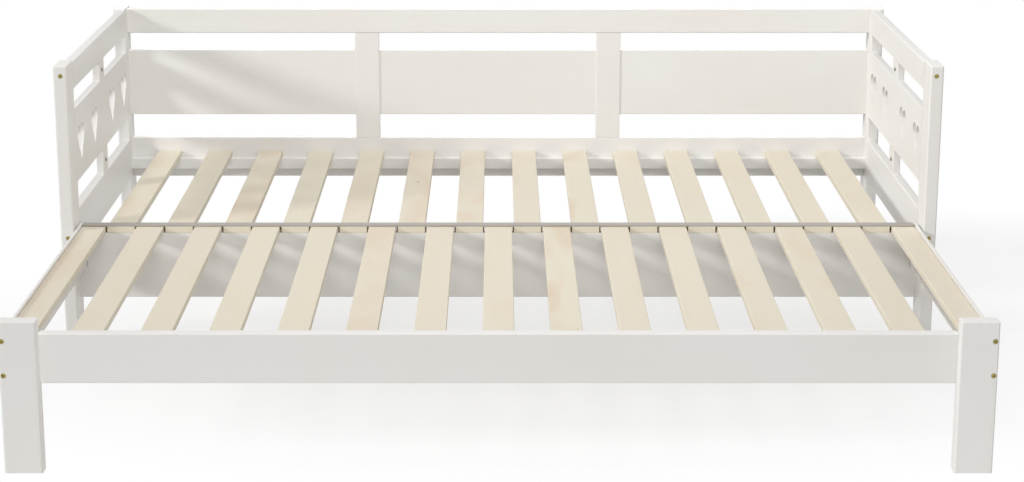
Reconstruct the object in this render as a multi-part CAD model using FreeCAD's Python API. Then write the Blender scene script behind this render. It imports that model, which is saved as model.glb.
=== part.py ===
import FreeCAD, Part
import math
import os

from FreeCAD import Vector

# An extendable slatted bed, modelled pulled out. Millimetres, +X right, +Y to the back panel, +Z up.
# The origin is on the floor under the middle of the pulled-out bed.

# Sleeping space
inner_length = 2007.0
bed_depth = 840.0
open_reach = 772.0
slat_level = 269.0

# Corner posts
post_width = 31.0
post_depth = 80.0
post_proud = 4.0
post_round = 4.0
post_top_round = 3.0

# Rails and boards of the end and back panels, from the floor up
lower_rail_bottom = 214.0
lower_rail_height = 109.0
lower_gap = 64.0
board_height = 178.0
upper_gap = 47.0
top_rail_height = 66.0
end_rail_thick = 22.0
end_board_thick = 18.0
back_rail_thick = 20.0
back_board_thick = 14.0
back_board_setback = 3.0
panel_setback = 31.0
rail_round = 3.0
board_round = 2.0
stile_width = 62.0
mullion_width = 65.0
mullion_centres = (-356.0, 298.0)

# Heart cut-outs, placed along the end board from its middle as shares of its length
heart_width = 84.0
heart_height = 86.0
heart_place_shares = (-0.4156, -0.1715, 0.1715, 0.4156)
heart_drop = 5.0

# Front beam, slat ledges and retaining strip
beam_setback = 46.0
beam_thick = 20.0
beam_height = 160.0
ledge_depth = 20.0
ledge_height = 30.0
strip_width = 23.0
strip_thick = 4.0
strip_end_gap = 1.5
strip_sink = 1.0
strip_play = 0.5

# Slats
fixed_slat_count = 14
edge_slat_share = 0.339
slat_gap = 4.6
fixed_slat_thick = 16.5
sliding_slat_thick = 14.5
slat_round = 2.0
slat_end_gap = 1.0

# Pull-out frame
leg_width = 78.0
leg_thick = 33.0
leg_height = 321.0
leg_side_gap = 2.5
front_rail_setback = 20.0
front_rail_thick = 25.0
front_rail_bottom = 185.0
front_rail_height = 105.0
side_rail_thick = 14.0
side_rail_inset = 1.5
side_rail_lip = 6.5
side_rail_block = 45.0
side_rail_step_gap = 2.0
slide_gap = 0.3
notch_gap = 1.0
edge_slat_gap = 0.5

# Stop pegs at the back ends of the side rails
peg_radius = 4.0
peg_reach = 22.0
peg_bed = 10.0
peg_height = 30.0
peg_tail = 7.0

# Bolts and barrel nuts
head_radius = 5.0
head_height = 3.0
head_sink = 1.0
head_play = 0.5
shank_radius = 3.0
shank_play = 0.5
shank_past_nut = 5.0
socket_flats = 5.0
socket_depth = 2.0
nut_radius = 5.0
nut_length = 11.0
nut_play = 0.1
nut_inset = 32.0
end_bolt_inset = 14.0
end_bolt_drop = 20.0
end_bolt_lift = 54.0
back_bolt_drop = 46.0
back_bolt_lift = 26.0
beam_bolt_lift = 38.0
leg_bolt_drop = 10.0
leg_bolt_lift = 23.0

# Every cut runs past the faces that it opens by this much.
overrun = 5.0
edge_tolerance = 0.01

# Heights of the panel members
lower_rail_top = lower_rail_bottom + lower_rail_height
board_bottom = lower_rail_top + lower_gap
board_top = board_bottom + board_height
top_rail_bottom = board_top + upper_gap
top_rail_top = top_rail_bottom + top_rail_height
post_height = top_rail_top + post_proud
fixed_slat_top = slat_level + fixed_slat_thick
strip_level = fixed_slat_top - strip_sink
sliding_slat_level = slat_level + slide_gap
front_rail_top = front_rail_bottom + front_rail_height
beam_bottom = slat_level - beam_height

# Places from front to back, with the pulled-out bed centred on the origin
overall_depth = (front_rail_setback + front_rail_thick + open_reach
                 + bed_depth - panel_setback + post_depth)
leg_front_y = -overall_depth / 2
leg_back_y = leg_front_y + leg_thick
front_rail_y = leg_front_y + front_rail_setback
front_rail_back_y = front_rail_y + front_rail_thick
post_y = front_rail_back_y + open_reach
post_back_y = post_y + post_depth
beam_y = post_y + beam_setback
beam_back_y = beam_y + beam_thick
back_y = post_y + bed_depth
rear_post_y = back_y - panel_setback
rear_post_back_y = rear_post_y + post_depth
panel_length = rear_post_y - post_back_y
panel_middle_y = (post_back_y + rear_post_y) / 2
peg_y = beam_back_y + slide_gap + peg_radius
side_rail_back_y = peg_y + peg_tail
side_rebate_y = leg_back_y + side_rail_block

# Places from the middle outwards
inner_x = inner_length / 2
outer_x = inner_x + post_width
leg_outer_x = inner_x - leg_side_gap
leg_inner_x = leg_outer_x - leg_width
side_rail_outer_x = leg_outer_x - side_rail_inset
side_rail_inner_x = side_rail_outer_x - side_rail_thick
side_lip_x = side_rail_outer_x - side_rail_lip
slat_pitch = 2 * side_lip_x / (fixed_slat_count + edge_slat_share)
slat_width = slat_pitch / 2 - slat_gap

AXIS_X = Vector(1, 0, 0)
AXIS_Y = Vector(0, 1, 0)
AXIS_Z = Vector(0, 0, 1)
# For a bar along each axis: the two directions of its section, then its length
SECTION_AXES = {"x": (AXIS_Y, AXIS_Z, AXIS_X), "y": (AXIS_Z, AXIS_X, AXIS_Y), "z": (AXIS_X, AXIS_Y, AXIS_Z)}
SIDES = {"left": -1, "right": 1}

nodes = {}


def bar(low, high, radius, along):
    """A straight piece between two corners, with its four long edges rounded."""
    across, up, length = SECTION_AXES[along]
    size = high - low
    width = across * size.dot(across)
    height = up * size.dot(up)
    corners = [low, low + width, low + width + height, low + height]
    steps = [across, up, -across, -up]
    arc_share = 1 - math.sqrt(0.5)
    edges = []
    for corner, arriving, leaving, target in zip(
            corners, steps[-1:] + steps[:-1], steps, corners[1:] + corners[:1]):
        begin = corner - arriving * radius
        middle = corner + (leaving - arriving) * (radius * arc_share)
        end = corner + leaving * radius
        edges.append(Part.Arc(begin, middle, end).toShape())
        edges.append(Part.LineSegment(end, target - leaving * radius).toShape())
    return Part.Face(Part.Wire(edges)).extrude(length * size.dot(length))


def mirrored_bar(side, inner, outer, low_y, high_y, low_z, high_z, radius, along):
    """A bar given by its distances from the middle, on the left (-1) or right (1)."""
    low_x, high_x = sorted((side * inner, side * outer))
    return bar(Vector(low_x, low_y, low_z), Vector(high_x, high_y, high_z), radius, along)


def ease_top(shape, top, radius):
    """Rounds the edges round the top face of a post or leg."""
    edges = [edge for edge in shape.Edges
             if all(abs(point.Z - top) < edge_tolerance for point in edge.Vertexes)]
    return shape.makeFillet(radius, edges)


def cylinder(start, direction, length, radius):
    return Part.makeCylinder(radius, length, start, direction)


def heart(start, thickness):
    """A heart across the board: two round lobes and straight sides tangent to them, meeting in a point."""
    lobe = heart_width / 4
    point_drop = heart_height - lobe
    dip = start + AXIS_Z * (heart_height / 2 - lobe)
    point = dip - AXIS_Z * point_drop
    reach = lobe * lobe + point_drop * point_drop
    tangent_out = 2 * point_drop * point_drop * lobe / reach
    tangent_up = 2 * point_drop ** 3 / reach - 2 * point_drop
    edges = []
    for side in (-1, 1):
        outward = AXIS_Y * side
        tangent = dip + outward * tangent_out + AXIS_Z * tangent_up
        crown = dip + outward * lobe + AXIS_Z * lobe
        edges.append(Part.Arc(dip, crown, tangent).toShape())
        edges.append(Part.LineSegment(tangent, point).toShape())
    wire = Part.Wire(Part.__sortEdges__(edges))
    return Part.Face(wire).extrude(AXIS_X * thickness)


def posts():
    """Four corner posts, flush inside with the end panels."""
    for side_name, side in SIDES.items():
        for end_name, start in (("front", post_y), ("rear", rear_post_y)):
            post = mirrored_bar(side, inner_x, outer_x, start, start + post_depth, 0, post_height,
                                post_round, "z")
            nodes[f"{end_name}_{side_name}_post"] = ease_top(post, post_height, post_top_round)


def end_panels():
    """Rails, heart board and short centre stiles between the front and rear posts."""
    stile_y = panel_middle_y - stile_width / 2
    for name, side in SIDES.items():
        rail_outer = inner_x + end_rail_thick
        board_outer = inner_x + end_board_thick
        for rail, low, high in (("top", top_rail_bottom, top_rail_top),
                                ("lower", lower_rail_bottom, lower_rail_top)):
            nodes[f"{name}_{rail}_rail"] = mirrored_bar(
                side, inner_x, rail_outer, post_back_y, rear_post_y, low, high, rail_round, "y")
        board = mirrored_bar(side, inner_x, board_outer, post_back_y, rear_post_y, board_bottom, board_top,
                             board_round, "y")
        middle_z = (board_bottom + board_top) / 2 - heart_drop
        cut_start = min(side * inner_x, side * board_outer) - overrun
        for share in heart_place_shares:
            start = Vector(cut_start, panel_middle_y + panel_length * share, middle_z)
            board = board.cut(heart(start, end_board_thick + 2 * overrun))
        nodes[f"{name}_heart_board"] = board
        stiles = [mirrored_bar(side, inner_x, board_outer, stile_y, stile_y + stile_width, low, high,
                               board_round, "z")
                  for low, high in ((lower_rail_top, board_bottom), (board_top, top_rail_bottom))]
        nodes[f"{name}_stiles"] = Part.makeCompound(stiles)


def back_panel():
    """Two rails, two mullions and the board lengths between them, and the ledge that carries the slats."""
    for rail, low, high in (("top", top_rail_bottom, top_rail_top),
                            ("lower", lower_rail_bottom, lower_rail_top)):
        nodes[f"back_{rail}_rail"] = bar(Vector(-inner_x, back_y, low),
                                         Vector(inner_x, back_y + back_rail_thick, high), rail_round, "x")
    board_y = back_y + back_board_setback
    edges = [-inner_x]
    for name, centre in zip(SIDES, mullion_centres):
        left = centre - mullion_width / 2
        right = centre + mullion_width / 2
        nodes[f"back_{name}_mullion"] = bar(Vector(left, back_y, lower_rail_top),
                                            Vector(right, back_y + back_rail_thick, top_rail_bottom),
                                            board_round, "z")
        edges += [left, right]
    edges.append(inner_x)
    boards = [bar(Vector(left, board_y, board_bottom),
                  Vector(right, board_y + back_board_thick, board_top), board_round, "x")
              for left, right in zip(edges[0::2], edges[1::2])]
    nodes["back_boards"] = Part.makeCompound(boards)
    nodes["back_slat_ledge"] = bar(Vector(-inner_x, back_y - ledge_depth, slat_level - ledge_height),
                                   Vector(inner_x, back_y, slat_level), board_round, "x")


def front_beam():
    """Beam under the front ends of the fixed slats, notched where the side rails slide through."""
    beam = bar(Vector(-inner_x, beam_y, beam_bottom), Vector(inner_x, beam_back_y, slat_level), rail_round, "x")
    notch_floor = front_rail_bottom - slide_gap
    notch_inner = side_rail_inner_x - notch_gap
    notch_width = inner_x - notch_inner + overrun
    for side in SIDES.values():
        low_x = min(side * notch_inner, side * (notch_inner + notch_width))
        notch = Part.makeBox(notch_width, beam_thick + 2 * overrun, slat_level - notch_floor + overrun,
                             Vector(low_x, beam_y - overrun, notch_floor))
        beam = beam.cut(notch)
    nodes["front_beam"] = beam
    strip_x = side_lip_x - strip_end_gap
    nodes["retaining_strip"] = Part.makeBox(2 * strip_x, strip_width, strip_thick,
                                            Vector(-strip_x, beam_y, strip_level))


def slats():
    """Fixed slats with a shallow seat for the strip, and sliding slats in the gaps between them.

    The outermost sliding slats lie in the rebates of the side rails, and are cut back beside the front blocks.
    """
    for number in range(fixed_slat_count):
        centre = (number - (fixed_slat_count - 1) / 2) * slat_pitch
        slat = bar(Vector(centre - slat_width / 2, beam_y, slat_level),
                   Vector(centre + slat_width / 2, back_y - slat_end_gap, fixed_slat_top), slat_round, "y")
        seat = Part.makeBox(slat_width + 2 * overrun, overrun + strip_width + strip_play, strip_sink + overrun,
                            Vector(centre - slat_width / 2 - overrun, beam_y - overrun, strip_level))
        nodes[f"fixed_slat_{number + 1:02d}"] = slat.cut(seat)
    front = front_rail_back_y + slat_end_gap
    back = beam_back_y - slat_end_gap
    edge_x = side_lip_x - edge_slat_gap
    block_x = side_rail_inner_x - edge_slat_gap
    for number in range(fixed_slat_count + 1):
        centre = (number - fixed_slat_count / 2) * slat_pitch
        left = max(centre - slat_width / 2, -edge_x)
        right = min(centre + slat_width / 2, edge_x)
        slat = bar(Vector(left, front, sliding_slat_level),
                   Vector(right, back, sliding_slat_level + sliding_slat_thick), slat_round, "y")
        if right > block_x or left < -block_x:
            corner_x = block_x if right > block_x else -block_x - side_rail_thick
            corner = Part.makeBox(side_rail_thick, side_rebate_y + slat_end_gap - front + overrun,
                                  sliding_slat_thick + 2 * overrun,
                                  Vector(corner_x, front - overrun, sliding_slat_level - overrun))
            slat = slat.cut(corner)
        nodes[f"sliding_slat_{number + 1:02d}"] = slat


def pull_out_frame():
    """Two legs, the front rail between them, the side rails behind them, a slat ledge and two stop pegs.

    The top back corner of each side rail is cut away, to pass under the back ledge when the bed is closed.
    Behind a solid block for its bolts, a rebate along its top carries the outermost slat beside a thin lip.
    """
    nodes["front_rail"] = bar(Vector(-leg_inner_x, front_rail_y, front_rail_bottom),
                              Vector(leg_inner_x, front_rail_back_y, front_rail_top), rail_round, "x")
    ledge_x = side_rail_inner_x - edge_slat_gap
    nodes["front_slat_ledge"] = bar(
        Vector(-ledge_x, front_rail_back_y, sliding_slat_level - ledge_height),
        Vector(ledge_x, front_rail_back_y + ledge_depth, sliding_slat_level), board_round, "x")
    pegs = []
    for name, side in SIDES.items():
        leg = mirrored_bar(side, leg_inner_x, leg_outer_x, leg_front_y, leg_back_y, 0, leg_height,
                           post_round, "z")
        nodes[f"{name}_leg"] = ease_top(leg, leg_height, post_top_round)
        rail = mirrored_bar(side, side_rail_inner_x, side_rail_outer_x, leg_back_y, side_rail_back_y,
                            front_rail_bottom, front_rail_top, board_round, "y")
        step_bottom = slat_level - ledge_height - side_rail_step_gap
        step = Part.makeBox(side_rail_thick + 2 * overrun, ledge_depth + overrun, front_rail_height,
                            Vector(min(side * side_rail_inner_x, side * side_rail_outer_x) - overrun,
                                   side_rail_back_y - ledge_depth, step_bottom))
        rebate_x = min(side * (side_rail_inner_x - overrun), side * side_lip_x)
        rebate = Part.makeBox(side_rail_thick - side_rail_lip + overrun,
                              side_rail_back_y - side_rebate_y + overrun,
                              front_rail_top - sliding_slat_level + overrun,
                              Vector(rebate_x, side_rebate_y, sliding_slat_level))
        peg_start = Vector(side * (side_rail_inner_x + peg_bed), peg_y, front_rail_bottom + peg_height)
        peg = cylinder(peg_start, AXIS_X * -side, peg_bed + peg_reach, peg_radius)
        nodes[f"{name}_side_rail"] = rail.cut(peg).cut(step).cut(rebate)
        pegs.append(peg)
    nodes["stop_pegs"] = Part.makeCompound(pegs)


def bolt(face, inward, reach):
    """Cylindrical head with a hexagon socket, sunk below the face, and a plain shank to the nut."""
    head_face = face + inward * head_sink
    shape = cylinder(head_face, inward, head_height, head_radius).fuse(
        cylinder(head_face, inward, reach - head_sink + shank_past_nut, shank_radius))
    across = AXIS_Z
    beside = inward.cross(across)
    corner_radius = socket_flats / math.sqrt(3)
    corners = []
    for corner in range(6):
        turn = math.radians(60 * corner)
        corners.append(head_face + (across * math.cos(turn) + beside * math.sin(turn)) * corner_radius)
    socket = Part.Face(Part.makePolygon(corners + corners[:1])).extrude(inward * socket_depth)
    return shape.cut(socket).removeSplitter()


def bolt_bore(face, inward, reach):
    """The hole for a bolt: a counterbore for the head and a clearance hole for the shank."""
    head = cylinder(face - inward * overrun, inward, overrun + head_sink + head_height, head_radius + head_play)
    shank = cylinder(face, inward, reach + shank_past_nut + shank_play, shank_radius + shank_play)
    return head.fuse(shank)


def barrel_nut(axis_point, hidden_way, inward, face_distance):
    """A cross nut centred on the bolt, and the blind hole that it drops into from the hidden face."""
    start = axis_point - hidden_way * (nut_length / 2)
    thread = cylinder(axis_point - inward * (2 * nut_radius), inward, 4 * nut_radius, shank_radius)
    nut = cylinder(start, hidden_way, nut_length, nut_radius).cut(thread)
    hole = cylinder(start, hidden_way, nut_length / 2 + face_distance + overrun, nut_radius + nut_play)
    return nut, hole


def join(outer_node, inner_node, face, inward, reach, hidden_way, face_distance):
    """Bolts one piece to another: cuts both, and returns the bolt and its nut."""
    bore = bolt_bore(face, inward, reach)
    nut, hole = barrel_nut(face + inward * reach, hidden_way, inward, face_distance)
    nodes[outer_node] = nodes[outer_node].cut(bore)
    nodes[inner_node] = nodes[inner_node].cut(bore.fuse(hole))
    return bolt(face, inward, reach), nut


def frame_fasteners():
    """Bolts through the posts into the end rails, the back rails and the beam."""
    joined = []
    top_bolt_z = top_rail_top - end_bolt_drop
    low_bolt_z = lower_rail_bottom + end_bolt_lift
    for name, side in SIDES.items():
        outward = AXIS_X * side
        bolt_x = side * (inner_x + end_bolt_inset)
        for end, face_y, inward in (("front", post_y, AXIS_Y), ("rear", rear_post_back_y, -AXIS_Y)):
            for rail, height in (("top", top_bolt_z), ("lower", low_bolt_z)):
                joined.append(join(f"{end}_{name}_post", f"{name}_{rail}_rail", Vector(bolt_x, face_y, height),
                                   inward, post_depth + nut_inset, outward, end_rail_thick - end_bolt_inset))
        cross_reach = post_width + nut_inset
        back_bolt_y = back_y + back_rail_thick / 2
        for rail, height in (("top", top_rail_top - back_bolt_drop),
                             ("lower", lower_rail_bottom + back_bolt_lift)):
            back_face = Vector(side * outer_x, back_bolt_y, height)
            joined.append(join(f"rear_{name}_post", f"back_{rail}_rail", back_face, -outward, cross_reach,
                               AXIS_Y, back_rail_thick / 2))
        beam_face = Vector(side * outer_x, beam_y + beam_thick / 2, beam_bottom + beam_bolt_lift)
        joined.append(join(f"front_{name}_post", "front_beam", beam_face, -outward, cross_reach, AXIS_Y,
                           beam_thick / 2))
    nodes["frame_bolts"] = Part.makeCompound([screw for screw, nut in joined])
    nodes["frame_barrel_nuts"] = Part.makeCompound([nut for screw, nut in joined])


def leg_fasteners():
    """Two bolts through each leg into the end of its side rail."""
    joined = []
    for name, side in SIDES.items():
        bolt_x = side * (side_rail_inner_x + side_rail_thick / 2)
        for height in (front_rail_top - leg_bolt_drop, front_rail_bottom + leg_bolt_lift):
            joined.append(join(f"{name}_leg", f"{name}_side_rail", Vector(bolt_x, leg_front_y, height), AXIS_Y,
                               leg_thick + nut_inset, AXIS_X * -side, side_rail_thick / 2))
    nodes["leg_bolts"] = Part.makeCompound([screw for screw, nut in joined])
    nodes["leg_barrel_nuts"] = Part.makeCompound([nut for screw, nut in joined])


posts()
end_panels()
back_panel()
front_beam()
slats()
pull_out_frame()
frame_fasteners()
leg_fasteners()

os.makedirs("parts", exist_ok=True)
for node, shape in nodes.items():
    shape.exportStep(os.path.join("parts", node + ".step"))

travel = back_y - slat_end_gap - side_rail_back_y
print("nodes", len(nodes), "valid", all(shape.isValid() for shape in nodes.values()))
print("solids", sum(len(shape.Solids) for shape in nodes.values()))
print("slat width %.1f pitch %.1f travel %.1f" % (slat_width, slat_pitch, travel))
print("overall %.0f x %.0f x %.0f" % (2 * outer_x, overall_depth, post_height))
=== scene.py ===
# %% [markdown]
# # Dressing an extendable bed
# The bed arrives as a packed model of separate pieces: posts, rails, boards, slats and bolts. This lesson
# gives each piece the finish of the real one, stands the bed on a pale studio floor, lights it softly and
# looks at it from the front, a little above it. Loading the frame first means that every finish can use the
# real sizes.

# %% Load the bed
import math

import bmesh
import bpy
from mathutils import Matrix, Vector


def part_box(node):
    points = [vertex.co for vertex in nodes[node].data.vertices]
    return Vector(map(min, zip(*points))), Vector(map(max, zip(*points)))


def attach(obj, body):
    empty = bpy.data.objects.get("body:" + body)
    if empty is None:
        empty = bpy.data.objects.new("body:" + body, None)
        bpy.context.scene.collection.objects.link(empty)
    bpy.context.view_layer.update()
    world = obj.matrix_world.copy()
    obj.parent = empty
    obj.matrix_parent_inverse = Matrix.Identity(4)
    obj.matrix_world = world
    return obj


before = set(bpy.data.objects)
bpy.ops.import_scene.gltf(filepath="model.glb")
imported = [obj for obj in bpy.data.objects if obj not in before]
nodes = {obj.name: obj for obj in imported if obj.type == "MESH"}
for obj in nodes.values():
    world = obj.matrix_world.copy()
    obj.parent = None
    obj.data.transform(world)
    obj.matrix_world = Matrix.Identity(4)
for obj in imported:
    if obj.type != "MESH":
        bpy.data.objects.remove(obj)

MILLIMETRES_IN_METRE = 1000


scene = bpy.context.scene
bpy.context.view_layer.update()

# %% [markdown]
# ## Writing shader maths as Python
# A finish is a graph of small nodes. Adding them one by one in the editor is slow to repeat, so a wire here
# stands for one output socket, and sums on wires add Math nodes. The reflected forms let a plain number come
# first, as in `1 - mask`.

# %% A wire


class Wire:
    """One output of a shader node. Arithmetic on it adds Math nodes to the same finish."""

    def __init__(self, finish, socket):
        self.finish = finish
        self.socket = socket

    def math(self, operation, other=0.0, swapped=False):
        first, second = (other, self) if swapped else (self, other)
        return self.finish.node("ShaderNodeMath", {"operation": operation}, {0: first, 1: second})

    def __add__(self, other):
        return self.math("ADD", other)

    def __sub__(self, other):
        return self.math("SUBTRACT", other)

    def __rsub__(self, other):
        return self.math("SUBTRACT", other, swapped=True)

    def __mul__(self, other):
        return self.math("MULTIPLY", other)

    def __truediv__(self, other):
        return self.math("DIVIDE", other)

    def __gt__(self, other):
        return self.math("GREATER_THAN", other)

    def __abs__(self):
        return self.math("ABSOLUTE")

    __radd__ = __add__
    __rmul__ = __mul__


print("a wire takes + - * / > and abs()")

# %% [markdown]
# ## Building a finish
# Any node that isn't a sum comes from one method, which sets the node's settings before its sockets, because
# a setting such as the data type decides which sockets count. The other methods are shorthands for nodes that
# most finishes use, and the last one ends the graph in one Principled shader.

# %% A finish


class Finish:
    """A node tree, of a new material or of the world, whose nodes are added by name."""

    def __init__(self, name, tree=None):
        if tree is None:
            self.material = bpy.data.materials.new(name)
            self.material.use_nodes = True
            tree = self.material.node_tree
        self.tree = tree
        self.tree.nodes.clear()

    def node(self, kind, settings=None, sockets=None, output=0):
        """Adds one node, sets its settings and then its sockets, and returns one output as a wire."""
        made = self.tree.nodes.new(kind)
        for name, value in (settings or {}).items():
            if name == "stops":
                self.set_stops(made.color_ramp.elements, value)
            else:
                setattr(made, name, value)
        for name, value in (sockets or {}).items():
            if isinstance(value, Wire):
                self.tree.links.new(value.socket, made.inputs[name])
            else:
                made.inputs[name].default_value = value
        return Wire(self, made.outputs[output]) if made.outputs else made

    def set_stops(self, elements, stops):
        while len(elements) < len(stops):
            elements.new(1.0)
        for element, (place, value) in zip(elements, stops):
            element.position = place
            element.color = (value, value, value, 1.0)

    def places(self, stretch=(1.0, 1.0, 1.0), shift=None):
        """Object coordinates in metres, moved by a vector if one is given, and then stretched."""
        point = self.node("ShaderNodeTexCoord", output="Object")
        if shift is not None:
            point = self.node("ShaderNodeVectorMath", {"operation": "ADD"}, {0: point, 1: shift})
        return self.node("ShaderNodeMapping", None, {"Vector": point, "Scale": stretch})

    def part(self, vector, letter):
        """One coordinate of a wire of vectors."""
        return self.node("ShaderNodeSeparateXYZ", None, {0: vector}, output=letter)

    def noise(self, point, scale=1.0, detail=2.0, roughness=0.5, distortion=0.0):
        return self.node("ShaderNodeTexNoise", None, {
            "Vector": point, "Scale": scale, "Detail": detail, "Roughness": roughness,
            "Distortion": distortion})

    def ramp(self, value, *stops):
        """Grey steps along a value, as pairs of a place and a brightness."""
        return self.node("ShaderNodeValToRGB", {"stops": stops}, {"Fac": value})

    def mix(self, share, first, second):
        """Mixes two colours by a share."""
        return self.node("ShaderNodeMix", {"data_type": "RGBA"},
                         {"Factor": share, "A": first, "B": second}, output=2)

    def bump(self, height, distance, strength):
        return self.node("ShaderNodeBump", None,
                         {"Height": height, "Distance": distance, "Strength": strength})

    def seen(self):
        """1 for rays that show a thing, straight or by a mirror or glass, and 0 for those that only light."""
        camera, glossy, through = (self.node("ShaderNodeLightPath", output=f"Is {kind} Ray")
                                   for kind in ("Camera", "Glossy", "Transmission"))
        return camera.math("MAXIMUM", glossy).math("MAXIMUM", through)

    def surface(self, **sockets):
        """Ends the finish in one Principled shader."""
        names = {name.replace("_", " ").title().replace("Ior", "IOR"): value
                 for name, value in sockets.items()}
        shader = self.node("ShaderNodeBsdfPrincipled", None, names)
        self.node("ShaderNodeOutputMaterial", None, {"Surface": shader})
        return self.material


print("a finish can add:", [name for name in vars(Finish) if not name.startswith("_")])

# %% [markdown]
# ## Dressing packed pieces
# A packed piece keeps its object and its mesh, because both already have the real size and place. Only the
# material in its slots is changed.

# %% Dress


def dress(material, names):
    """Puts one material in the slots of some packed pieces."""
    for name in names:
        for slot in nodes[name].material_slots:
            slot.material = material
    print(f"{material.name}: {len(names)} pieces")


def colour(red, green, blue):
    return (red, green, blue, 1.0)


print("pieces to dress:", len(nodes))

# %% [markdown]
# ## Satin white paint over softwood
# The posts, rails and boards are sawn from softwood and sprayed with a satin white. The paint nearly fills
# the wood, but the grain still shows as faint ridges along each piece, with the fine ripple of sprayed paint
# over it. An image texture would need unwrapping; noise stretched along the grain needs only the piece's
# direction, so the same recipe is made three times, for pieces that run along X, Y and Z. The white itself
# drifts slightly from warm to cool. In this and every later recipe, values with DULL in their names are
# roughness, values that end in RELIEF are depths in metres, and stops are the steps of a ramp.

# %% The paint's recipe
PAINT_COOL = colour(0.800, 0.788, 0.768)
PAINT_WARM = colour(0.786, 0.764, 0.728)
PAINT_PORE = colour(0.700, 0.682, 0.650)
GRAIN_ALONG, GRAIN_ACROSS = 5.0, 170.0
STREAK_ALONG, STREAK_ACROSS = 1.2, 9.0
RIPPLE_SCALE = 520.0
CLOUD_SCALE = 3.1
RIDGE_STOPS = (0.36, 0.0), (0.64, 1.0)
PORE_STOPS = (0.22, 1.0), (0.36, 0.0)
PAINT_TONE_STOPS = (0.34, 0.0), (0.66, 1.0)
CLOUD_TONE_SHARE = 0.6
PORE_SHARE = 0.22
PAINT_DULL, PAINT_CLOUD_DULL, PAINT_RIDGE_DULL = 0.36, 0.10, 0.05
RIDGE_HEIGHT_SHARE = 0.55
PAINT_RELIEF, PAINT_RELIEF_SHARE = 0.00022, 0.75
PAINT_SPECULAR = 0.42


def stretched(axis, along, across):
    """Texture scales that draw a pattern out along one axis."""
    return [along if place == axis else across for place in range(3)]


def white_paint(axis):
    finish = Finish("satin_white_paint_" + "xyz"[axis])
    grain = finish.noise(finish.places(stretched(axis, GRAIN_ALONG, GRAIN_ACROSS)),
                         detail=4.0, roughness=0.62, distortion=0.35)
    streak = finish.noise(finish.places(stretched(axis, STREAK_ALONG, STREAK_ACROSS)))
    ripple = finish.noise(finish.places(), RIPPLE_SCALE, detail=1.0)
    cloud = finish.noise(finish.places(), CLOUD_SCALE, detail=3.0)
    ridges = finish.ramp(grain, *RIDGE_STOPS)
    pores = finish.ramp(grain, *PORE_STOPS)
    tone = finish.ramp(CLOUD_TONE_SHARE * cloud + (1 - CLOUD_TONE_SHARE) * streak, *PAINT_TONE_STOPS)
    white = finish.mix(tone, PAINT_COOL, PAINT_WARM)
    relief = RIDGE_HEIGHT_SHARE * ridges + (1 - RIDGE_HEIGHT_SHARE) * ripple
    return finish.surface(
        base_color=finish.mix(PORE_SHARE * pores, white, PAINT_PORE),
        roughness=PAINT_DULL + PAINT_CLOUD_DULL * cloud + PAINT_RIDGE_DULL * ridges,
        normal=finish.bump(relief, PAINT_RELIEF, PAINT_RELIEF_SHARE),
        specular_ior_level=PAINT_SPECULAR)


print("paint for grain", GRAIN_ACROSS / GRAIN_ALONG, "times as long as wide")

# %% Paint each direction of grain
painted_along_x = ["back_top_rail", "back_lower_rail", "back_boards", "back_slat_ledge", "front_beam",
                   "front_rail", "front_slat_ledge"]
painted_along_y = [name for name in nodes if name.startswith(("left_", "right_"))
                   and name.endswith(("_top_rail", "_lower_rail", "_heart_board", "_side_rail"))]
painted_along_z = [name for name in nodes if name.endswith(("_post", "_mullion", "_stiles", "_leg"))]
for axis, names in enumerate((painted_along_x, painted_along_y, painted_along_z)):
    dress(white_paint(axis), names)

# %% [markdown]
# ## Bare pine slats
# The slats are planed pine without any finish, pale cream with a pink blush here and there, faint lines of
# summer growth and a rare pin knot. Each is a little different, because each comes from another board. Every
# slat sits at a multiple of half the slat pitch, so dividing X by that and rounding gives each its own
# number, and a white noise of that number gives it its own tone, strength of blush and place in the grain.
# Their sawn ends face along Y and are warmer.

# %% A board for each slat
FIRST_SLAT, LAST_SLAT = 1, 14
OWN_SHIFT = 3.0


def middle_x(name):
    low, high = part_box(name)
    return (low.x + high.x) / 2


slat_names = sorted(name for name in nodes if name.startswith(("fixed_slat_", "sliding_slat_")))
slat_span = middle_x(f"fixed_slat_{LAST_SLAT:02d}") - middle_x(f"fixed_slat_{FIRST_SLAT:02d}")
half_pitch = slat_span / (LAST_SLAT - FIRST_SLAT) / 2


def own_board(finish):
    """A point's place across the bed, and its slat's own tone, strength of blush and shift in the grain."""
    across = finish.part(finish.places(), "X")
    number = (across / half_pitch).math("ROUND")
    one_number = {"noise_dimensions": "1D"}
    tone = finish.node("ShaderNodeTexWhiteNoise", one_number, {"W": number}, output="Value")
    draws = finish.node("ShaderNodeTexWhiteNoise", one_number, {"W": number}, output="Color")
    shift = finish.node("ShaderNodeVectorMath", {"operation": "SCALE"}, {0: draws, "Scale": OWN_SHIFT})
    return across, tone, finish.part(draws, "Z"), shift


print("half the slat pitch:", round(half_pitch, 5))

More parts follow.
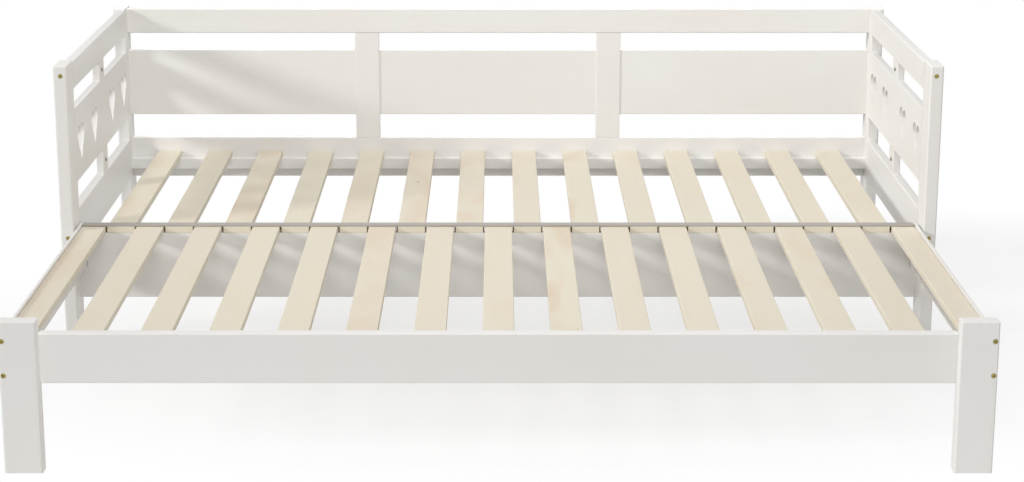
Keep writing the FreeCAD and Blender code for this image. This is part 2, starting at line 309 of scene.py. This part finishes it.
# %% Growth lines, knots and sawn ends
PINE_LINE = colour(0.675, 0.580, 0.430)
PINE_KNOT = colour(0.300, 0.185, 0.100)
PINE_END = colour(0.800, 0.722, 0.575)
RING_PHASE_PER_METRE = 420.0
RING_WANDER = 30.0
WANDER_STRETCH = (7.0, 1.3, 7.0)
GROWTH_STOPS = (0.45, 0.0), (0.92, 1.0), (1.0, 0.55)
KNOT_STRETCH = (9.0, 3.6, 9.0)
RARE_STRETCH = (4.0, 1.7, 4.0)
RARE_STOPS = (0.58, 0.0), (0.64, 1.0)
HALO_SHARE, HALO_STOPS = 0.25, ((0.03, 1.0), (0.10, 0.0))
KNOT_SHARE, KNOT_STOPS = 0.8, ((0.016, 1.0), (0.036, 0.0))
END_STRETCH = (90.0, 90.0, 260.0)
END_FACING = 0.8
END_LEAST_SHARE = 0.55


def growth_lines(finish, across, tone, shift):
    """Summer growth, as wavering lines along a slat."""
    wander = finish.noise(finish.places(WANDER_STRETCH, shift))
    rings = (RING_PHASE_PER_METRE * across + RING_WANDER * (wander + tone)).math("SINE")
    return finish.ramp(0.5 + 0.5 * rings, *GROWTH_STOPS)


def with_knots(finish, wood, shift):
    """A few pin knots, each in a faint halo."""
    spots = finish.node("ShaderNodeTexVoronoi", {"feature": "F1"},
                        {"Vector": finish.places(KNOT_STRETCH, shift), "Scale": 1.0}, output="Distance")
    rare = finish.ramp(finish.noise(finish.places(RARE_STRETCH, shift)), *RARE_STOPS)
    wood = finish.mix(HALO_SHARE * rare * finish.ramp(spots, *HALO_STOPS), wood, PINE_LINE)
    return finish.mix(KNOT_SHARE * rare * finish.ramp(spots, *KNOT_STOPS), wood, PINE_KNOT)


def with_sawn_ends(finish, wood, shift):
    """Warmer wood on the faces that look along Y."""
    sawn = abs(finish.part(finish.node("ShaderNodeTexCoord", output="Normal"), "Y")) > END_FACING
    end_rings = finish.noise(finish.places(END_STRETCH, shift), detail=3.0)
    return finish.mix(sawn * (END_LEAST_SHARE + (1 - END_LEAST_SHARE) * end_rings), wood, PINE_END)


print("growth lines:", round(RING_PHASE_PER_METRE * 2 * half_pitch / math.tau, 1), "in one pitch")

# %% Pine
PINE_PALE = colour(0.742, 0.690, 0.575)
PINE_PINK = colour(0.708, 0.632, 0.522)
PINE_STRAW = colour(0.726, 0.682, 0.542)
PINE_BLUSH = colour(0.690, 0.575, 0.440)
FIBRE_STRETCH = (900.0, 9.0, 900.0)
PINE_CLOUD_STRETCH = (5.0, 1.5, 5.0)
BLUSH_STRETCH = (6.0, 2.2, 6.0)
STRAW_SHARE, STRAW_STOPS = 0.75, ((0.15, 0.0), (0.85, 1.0))
PALE_SHARE, PALE_CLOUD_SHARE = 0.35, 0.5
BLUSH_STRENGTH_STOPS = (0.40, 0.25), (0.95, 1.0)
BLUSH_STOPS = (0.48, 0.0), (0.72, 1.0)
LINE_SHARE, LINE_CLOUD_SHARE = 0.02, 0.18
FIBRE_SHARE, FIBRE_STOPS = 0.24, ((0.55, 0.0), (0.85, 1.0))
PINE_DULL, FIBRE_DULL, LINE_POLISH = 0.58, 0.14, 0.08
FIBRE_HEIGHT_SHARE = 0.6
PINE_RELIEF, PINE_RELIEF_SHARE = 0.00018, 0.7
PINE_SPECULAR = 0.3


def slat_pine():
    finish = Finish("planed_pine")
    across, tone, strength, shift = own_board(finish)
    growth = growth_lines(finish, across, tone, shift)
    fibre = finish.noise(finish.places(FIBRE_STRETCH, shift), detail=3.0, roughness=0.6)
    cloud = finish.noise(finish.places(PINE_CLOUD_STRETCH, shift), detail=3.0)
    blush = finish.noise(finish.places(BLUSH_STRETCH, shift), detail=4.0, distortion=1.2)
    blushed = finish.ramp(strength, *BLUSH_STRENGTH_STOPS) * finish.ramp(blush, *BLUSH_STOPS)

    wood = finish.mix(STRAW_SHARE * finish.ramp(tone, *STRAW_STOPS), PINE_PINK, PINE_STRAW)
    wood = finish.mix(PALE_SHARE + PALE_CLOUD_SHARE * cloud, wood, PINE_PALE)
    wood = finish.mix(blushed, wood, PINE_BLUSH)
    wood = finish.mix(growth * (LINE_SHARE + LINE_CLOUD_SHARE * cloud), wood, PINE_LINE)
    wood = finish.mix(FIBRE_SHARE * finish.ramp(fibre, *FIBRE_STOPS), wood, PINE_LINE)
    wood = with_knots(finish, wood, shift)
    wood = with_sawn_ends(finish, wood, shift)
    relief = FIBRE_HEIGHT_SHARE * fibre + (1 - FIBRE_HEIGHT_SHARE) * growth
    return finish.surface(
        base_color=wood,
        roughness=PINE_DULL + FIBRE_DULL * fibre - LINE_POLISH * growth,
        normal=finish.bump(relief, PINE_RELIEF, PINE_RELIEF_SHARE),
        specular_ior_level=PINE_SPECULAR)


dress(slat_pine(), slat_names)

# %% [markdown]
# ## The metal strip, the bolts and the pegs
# A thin grey steel strip holds down the front ends of the fixed slats. It was drawn through rollers, so its
# scratches run along X. The bolts are brass plated, and their brass is darkened to olive as painted shade of
# their sockets and small heads; their barrel nuts are zinc plated.
# Metal shows what is round it, so what matters is its roughness: streaks on the strip, small dull patches on
# the plating. The stop pegs under the slats are plain beech dowels with short flecks.

# %% Plated bolts and nuts
# Brass darkened to olive: painted shade of the bolts' sockets and small heads.
BRASS_SHADED_LIGHT, BRASS_SHADED_DARK = colour(0.430, 0.365, 0.120), colour(0.240, 0.202, 0.066)
ZINC_BRIGHT, ZINC_DARK = colour(0.620, 0.630, 0.640), colour(0.520, 0.530, 0.530)
BRASS_DULL, ZINC_DULL = 0.26, 0.30
PATCH_SCALE = 260.0
PATCH_STOPS = (0.40, 0.0), (0.62, 1.0)
PLATE_SCRATCHES = (40.0, 900.0, 900.0)
PATCH_DULL, SCRATCH_DULL = 0.18, 0.08
PLATE_RELIEF, PLATE_RELIEF_SHARE = 0.00008, 0.5


def plated(name, bright, dark, dull):
    finish = Finish(name)
    patch = finish.noise(finish.places(), PATCH_SCALE, detail=3.0)
    scratch = finish.noise(finish.places(PLATE_SCRATCHES))
    return finish.surface(
        base_color=finish.mix(finish.ramp(patch, *PATCH_STOPS), bright, dark),
        metallic=1.0,
        roughness=dull + PATCH_DULL * patch + SCRATCH_DULL * scratch,
        normal=finish.bump(scratch, PLATE_RELIEF, PLATE_RELIEF_SHARE))


dress(plated("brass_plate", BRASS_SHADED_LIGHT, BRASS_SHADED_DARK, BRASS_DULL), ["frame_bolts", "leg_bolts"])
dress(plated("zinc_plate", ZINC_BRIGHT, ZINC_DARK, ZINC_DULL), ["frame_barrel_nuts", "leg_barrel_nuts"])

# %% Rolled steel strip
STEEL_PALE, STEEL_GREY = colour(0.480, 0.455, 0.420), colour(0.390, 0.365, 0.330)
STEEL_SCRATCHES = (6.0, 1400.0, 1400.0)
STEEL_PATCHES = (8.0, 60.0, 60.0)
STEEL_METALLIC = 0.65
STEEL_DULL, STEEL_SCRATCH_DULL, STEEL_PATCH_DULL = 0.34, 0.16, 0.08
STEEL_RELIEF, STEEL_RELIEF_SHARE = 0.00006, 0.6


def rolled_steel():
    finish = Finish("rolled_steel")
    scratch = finish.noise(finish.places(STEEL_SCRATCHES), detail=3.0)
    patch = finish.noise(finish.places(STEEL_PATCHES), detail=3.0)
    return finish.surface(
        base_color=finish.mix(patch, STEEL_GREY, STEEL_PALE),
        metallic=STEEL_METALLIC,
        roughness=STEEL_DULL + STEEL_SCRATCH_DULL * scratch + STEEL_PATCH_DULL * patch,
        normal=finish.bump(scratch, STEEL_RELIEF, STEEL_RELIEF_SHARE))


dress(rolled_steel(), ["retaining_strip"])

# %% Beech pegs
BEECH_PALE, BEECH_FLECK = colour(0.640, 0.450, 0.280), colour(0.500, 0.320, 0.180)
FLECK_STRETCH = (60.0, 900.0, 900.0)
FLECK_STOPS = (0.4, 0.0), (0.7, 1.0)
BEECH_DULL, FLECK_DULL = 0.5, 0.15
BEECH_RELIEF, BEECH_RELIEF_SHARE = 0.0001, 0.6


def beech(name, pale, dark):
    finish = Finish(name)
    fleck = finish.noise(finish.places(FLECK_STRETCH), detail=3.0)
    return finish.surface(
        base_color=finish.mix(finish.ramp(fleck, *FLECK_STOPS), pale, dark),
        roughness=BEECH_DULL + FLECK_DULL * fleck,
        normal=finish.bump(fleck, BEECH_RELIEF, BEECH_RELIEF_SHARE))


dress(beech("beech_dowel", BEECH_PALE, BEECH_FLECK), ["stop_pegs"])

# %% [markdown]
# ## Screws in the short stiles
# One screw holds each short stile of the end panels, and its round head shows on the inner face, darker than
# the bolts: its near-black colour is painted shade, standing for the shade at the stiles. Four small heads
# are a detail of the looks and not of the structure, so they are made here. Each starts as a disc on the
# stile, raised to a low cylinder; its face is inset and sunk to make the socket, and its rim is rounded.

# %% One screw head
SCREW_RADIUS = 0.005
SCREW_PROUD = 0.0014
SCREW_ROUNDING = 0.0005
SOCKET_RIM = 0.0022
SOCKET_DEPTH = 0.0011
SCREW_SIDES = 24
ROUND_STEPS = 2


def raised(shape, face, move):
    """Extrudes one face of a shape, moves it and returns it."""
    made = bmesh.ops.extrude_face_region(shape, geom=[face])["geom"]
    corners = [item for item in made if isinstance(item, bmesh.types.BMVert)]
    bmesh.ops.translate(shape, verts=corners, vec=move)
    return next(item for item in made if isinstance(item, bmesh.types.BMFace))


def add_screw_head(shape, place, inward):
    stand = Matrix.Translation(place) @ inward.to_track_quat("Z", "Y").to_matrix().to_4x4()
    disc = bmesh.ops.create_circle(shape, cap_ends=True, segments=SCREW_SIDES, radius=SCREW_RADIUS,
                                   matrix=stand)
    top = raised(shape, disc["verts"][0].link_faces[0], SCREW_PROUD * inward)
    rim = list(top.edges)
    bmesh.ops.inset_region(shape, faces=[top], thickness=SOCKET_RIM, use_even_offset=True)
    raised(shape, top, -SOCKET_DEPTH * inward)
    bmesh.ops.bevel(shape, geom=rim, offset=SCREW_ROUNDING, segments=ROUND_STEPS, profile=0.5,
                    affect="EDGES", material=-1)


print("screw heads stand", SCREW_PROUD * MILLIMETRES_IN_METRE, "mm proud")

# %% Four screw heads
# The screw heads are plated metal, and their near-black colour is painted shade of the stiles.
SCREW_SHADE_LIGHT, SCREW_SHADE_DARK = colour(0.130, 0.105, 0.055), colour(0.075, 0.060, 0.032)
SCREW_DULL = 0.34
LOW, HIGH = 0, 1


def stile_middles(side, inner_corner):
    """The middles of the inner faces of the two short stiles at one end of the bed."""
    stile_low, stile_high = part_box(f"{side}_stiles")
    board_low, board_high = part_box(f"{side}_heart_board")
    rail_above, rail_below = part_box(f"{side}_top_rail"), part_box(f"{side}_lower_rail")
    heights = ((board_high.z + rail_above[LOW].z) / 2, (rail_below[HIGH].z + board_low.z) / 2)
    face_x = (stile_low, stile_high)[inner_corner].x
    return [Vector((face_x, (stile_low.y + stile_high.y) / 2, height)) for height in heights]


def new_piece(name, shape, material):
    """Makes an object at the origin from a bmesh."""
    mesh = bpy.data.meshes.new(name)
    shape.to_mesh(mesh)
    shape.free()
    mesh.materials.append(material)
    piece = bpy.data.objects.new(name, mesh)
    scene.collection.objects.link(piece)
    return piece


heads = bmesh.new()
for side, inner_corner, inward in (("left", HIGH, Vector((1, 0, 0))), ("right", LOW, Vector((-1, 0, 0)))):
    for place in stile_middles(side, inner_corner):
        add_screw_head(heads, place, inward)
bmesh.ops.recalc_face_normals(heads, faces=heads.faces)
bronze_plate = plated("bronze_plate", SCREW_SHADE_LIGHT, SCREW_SHADE_DARK, SCREW_DULL)
stile_screws = new_piece("stile_screws", heads, bronze_plate)
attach(stile_screws, "fixed_frame")
print("screw heads:", len(stile_screws.data.polygons), "faces")

# %% [markdown]
# ## Guides between the slats
# Beside the front end of each fixed slat, under the strip, there is a narrow dark brown bar. A
# sliding slat passes there, so it is made as a guide on the fixed slat's side, and its dark brown is painted
# shade: it darkens the gap there, which would otherwise come out white. Each is a small box with rounded
# edges that fills the gap between the two slats but for a little play, set back from the beam's front.

# %% Slat guides
# The guides' dark brown is painted shade, for the gaps beside the slat ends.
GUIDE_SHADE_PALE, GUIDE_SHADE_FLECK = colour(0.310, 0.215, 0.120), colour(0.225, 0.150, 0.080)
GUIDE_PLAY = 0.0012
GUIDE_SET_BACK = 0.006
GUIDE_UNDER_STRIP = 0.0003
GUIDE_ROUNDING = 0.0006


def add_box(shape, low, high):
    size = Matrix.Diagonal(high - low).to_4x4()
    bmesh.ops.create_cube(shape, size=1.0, matrix=Matrix.Translation((low + high) / 2) @ size)


beam_low, beam_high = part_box("front_beam")
guide_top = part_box("retaining_strip")[LOW].z - GUIDE_UNDER_STRIP
guides = bmesh.new()
for name in slat_names:
    if name.startswith("fixed_slat_"):
        slat_low, slat_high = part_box(name)
        guide_width = half_pitch - (slat_high.x - slat_low.x) - GUIDE_PLAY
        for start_x in (slat_low.x - guide_width, slat_high.x):
            add_box(guides, Vector((start_x, beam_low.y + GUIDE_SET_BACK, slat_low.z)),
                    Vector((start_x + guide_width, beam_high.y, guide_top)))
bmesh.ops.bevel(guides, geom=guides.edges[:], offset=GUIDE_ROUNDING, segments=ROUND_STEPS, profile=0.5,
                affect="EDGES", material=-1)
# Their dark brown finish is painted shade.
slat_guides = new_piece("slat_guides", guides, beech("stained_beech", GUIDE_SHADE_PALE, GUIDE_SHADE_FLECK))
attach(slat_guides, "fixed_frame")
print("guide width:", round(guide_width * MILLIMETRES_IN_METRE, 2), "mm")

# %% [markdown]
# ## Floor and backdrop
# The bed stands on a plain white studio floor that runs into a white backdrop. A floor lit only by the lamps
# would come out grey and show a horizon. Light Path tells a shader that it is seen by the camera: there the
# floor is mostly white light of strength 1, and the rest is ordinary white paint, which keeps the shadow.
# Outside two ovals, one under the bed and one past its right rear corner, the white light grows to all of it,
# so the floor runs into the backdrop.

# %% Floor finish
FLOOR_WHITE = colour(0.86, 0.86, 0.855)
PURE_WHITE = colour(1.0, 1.0, 1.0)
FULL_WHITE = 1.0
SEEN_WHITE_SHARE = 0.66
UNDER_BED = dict(middle=Vector((0.15, 0.02, 0.0)), half_width=1.50, half_depth=0.90, least=0.0)
RIGHT_REAR = dict(middle=Vector((1.15, 0.70, 0.0)), half_width=1.00, half_depth=0.55, least=0.45)
FADE_START, FADE_END = 0.40, 1.1

floor_finish = Finish("studio_floor")


def outside(middle, half_width, half_depth, least):
    """A least share in the middle of an oval on the floor, growing to 1 past its edge."""
    around = floor_finish.places((1 / half_width, 1 / half_depth, 1.0), -middle)
    distance = floor_finish.node("ShaderNodeVectorMath", {"operation": "LENGTH"}, {0: around},
                                 output="Value")
    return floor_finish.ramp(distance / FADE_END, (FADE_START / FADE_END, least), (1.0, 1.0))


far = outside(**UNDER_BED).math("MINIMUM", outside(**RIGHT_REAR))
white_share = floor_finish.seen() * (SEEN_WHITE_SHARE + (1 - SEEN_WHITE_SHARE) * far)
paint = floor_finish.node("ShaderNodeBsdfDiffuse", None, {"Color": FLOOR_WHITE})
glow = floor_finish.node("ShaderNodeEmission", None, {"Color": PURE_WHITE, "Strength": FULL_WHITE})
shader = floor_finish.node("ShaderNodeMixShader", None, {0: white_share, 1: paint, 2: glow})
floor_finish.node("ShaderNodeOutputMaterial", None, {"Surface": shader})
print("floor finish:", len(floor_finish.tree.nodes), "nodes")

# %% Floor
FLOOR_HALF = 30.0

plane = bmesh.new()
bmesh.ops.create_grid(plane, x_segments=1, y_segments=1, size=FLOOR_HALF)
floor = new_piece("floor", plane, floor_finish.material)
print("floor:", 2 * FLOOR_HALF, "m square")

# %% [markdown]
# ## Light
# Three things in the picture show where its light comes from. Slanting bands on the beam and on the back
# panel's left end are shadows cast by a fairly small light low on the left, and their slope gives its height.
# The front rail's even grey asks for a wide soft light from the front. The back panel is brighter than the
# front rail, which a light from far away can't do, so there is a softbox over the bed too. A faint white sky
# keeps the other sides readable. Light linking does two things that plain lamps can't: the low light passes
# the left leg, because the picture shows no shadow of that leg on the rail beside it, and a light from behind
# whitens the back panel without touching the slats.

# %% Sky
SKY_LEVEL = 0.27

world = bpy.data.worlds.new("studio")
world.use_nodes = True
scene.world = world
sky = Finish("studio", world.node_tree)
dim = sky.node("ShaderNodeBackground", None, {"Color": PURE_WHITE, "Strength": SKY_LEVEL})
backdrop = sky.node("ShaderNodeBackground", None, {"Color": PURE_WHITE, "Strength": FULL_WHITE})
shader = sky.node("ShaderNodeMixShader", None, {0: sky.seen(), 1: dim, 2: backdrop})
sky.node("ShaderNodeOutputWorld", None, {"Surface": shader})
print("sky level:", SKY_LEVEL)

# %% Lamps and their links


def hang_lamp(name, kind, place, aim, level):
    """Adds a lamp at a place, turned to an aim, and returns it."""
    lamp = bpy.data.lights.new(name, kind)
    lamp.energy = level
    holder = bpy.data.objects.new(name, lamp)
    holder.location = place
    holder.rotation_euler = (place - aim).to_track_quat("Z", "Y").to_euler()
    scene.collection.objects.link(holder)
    return holder


def hang_sun(name, place, level, spread):
    """Adds a far lamp that shines on the bed's middle, and spreads its shadows by some degrees."""
    holder = hang_lamp(name, "SUN", place, Vector((0, 0, 0)), level)
    holder.data.angle = math.radians(spread)
    return holder


def gathered(name, pieces):
    """A collection of some packed pieces, for a lamp to name."""
    group = bpy.data.collections.new(name)
    for piece in pieces:
        group.objects.link(nodes[piece])
    return group


def let_through(holder, pieces):
    """Stops some pieces from casting this lamp's shadow."""
    spared = gathered(holder.name + "_passes", pieces)
    for member in spared.collection_objects:
        member.light_linking.link_state = "EXCLUDE"
    holder.light_linking.blocker_collection = spared


def light_only(holder, pieces):
    """Lets this lamp light some pieces and nothing else."""
    holder.light_linking.receiver_collection = gathered(holder.name + "_lights", pieces)


print("lamps so far:", len(bpy.data.lights))

# %% Four lamps
KEY_FROM, KEY_LEVEL, KEY_SPREAD = Vector((-0.82, -0.38, 0.37)), 1.62, 10.0
FILL_FROM, FILL_LEVEL, FILL_SPREAD = Vector((0.35, -0.75, 0.55)), 0.66, 60.0
BACK_FROM, BACK_LEVEL, BACK_SPREAD = Vector((0.0, 1.0, 0.20)), 0.75, 20.0
SOFTBOX_AT = Vector((0.0, -0.5, 2.7))
SOFTBOX_AIM = Vector((0.0, 0.2, 0.3))
SOFTBOX_WATTS = 32.5
SOFTBOX_SIZE = 1.6

left_key = hang_sun("left_key", KEY_FROM, KEY_LEVEL, KEY_SPREAD)
let_through(left_key, ["left_leg"])
hang_sun("front_fill", FILL_FROM, FILL_LEVEL, FILL_SPREAD)
back_fill = hang_sun("back_fill", BACK_FROM, BACK_LEVEL, BACK_SPREAD)
light_only(back_fill, [name for name in nodes if name.startswith(("back_", "rear_"))])
softbox = hang_lamp("softbox", "AREA", SOFTBOX_AT, SOFTBOX_AIM, SOFTBOX_WATTS)
softbox.data.size = SOFTBOX_SIZE
scene.view_settings.view_transform = "Standard"
print("lamps:", [light.name for light in bpy.data.lights])

# %% [markdown]
# ## Camera
# The photograph looks straight at the back panel from about five metres, at about standing eye height. Lines
# into the depth meet at one point above the picture. A pitched camera with a small shift keeps the uprights
# nearly upright, while the other views still hold the whole bed.

# %% Camera
CAMERA_AT = (0.0, -4.953, 1.627)
CAMERA_LEVEL = 90.0
CAMERA_PITCH = 13.886
CAMERA_LENS = 75.8
CAMERA_SHIFT = (0.0132, -0.06)
SENSOR_WIDTH = 36.0

lens = bpy.data.cameras.new("front_camera")
lens.sensor_width = SENSOR_WIDTH
lens.lens = CAMERA_LENS
lens.shift_x, lens.shift_y = CAMERA_SHIFT
camera = bpy.data.objects.new("front_camera", lens)
camera.location = CAMERA_AT
camera.rotation_euler = (math.radians(CAMERA_LEVEL - CAMERA_PITCH), 0, 0)
scene.collection.objects.link(camera)
scene.camera = camera
print("lens", CAMERA_LENS, "mm, pitched down", CAMERA_PITCH, "degrees")

# %% [markdown]
# ## Finish
# The visible bed has to stay the size of the packed model.
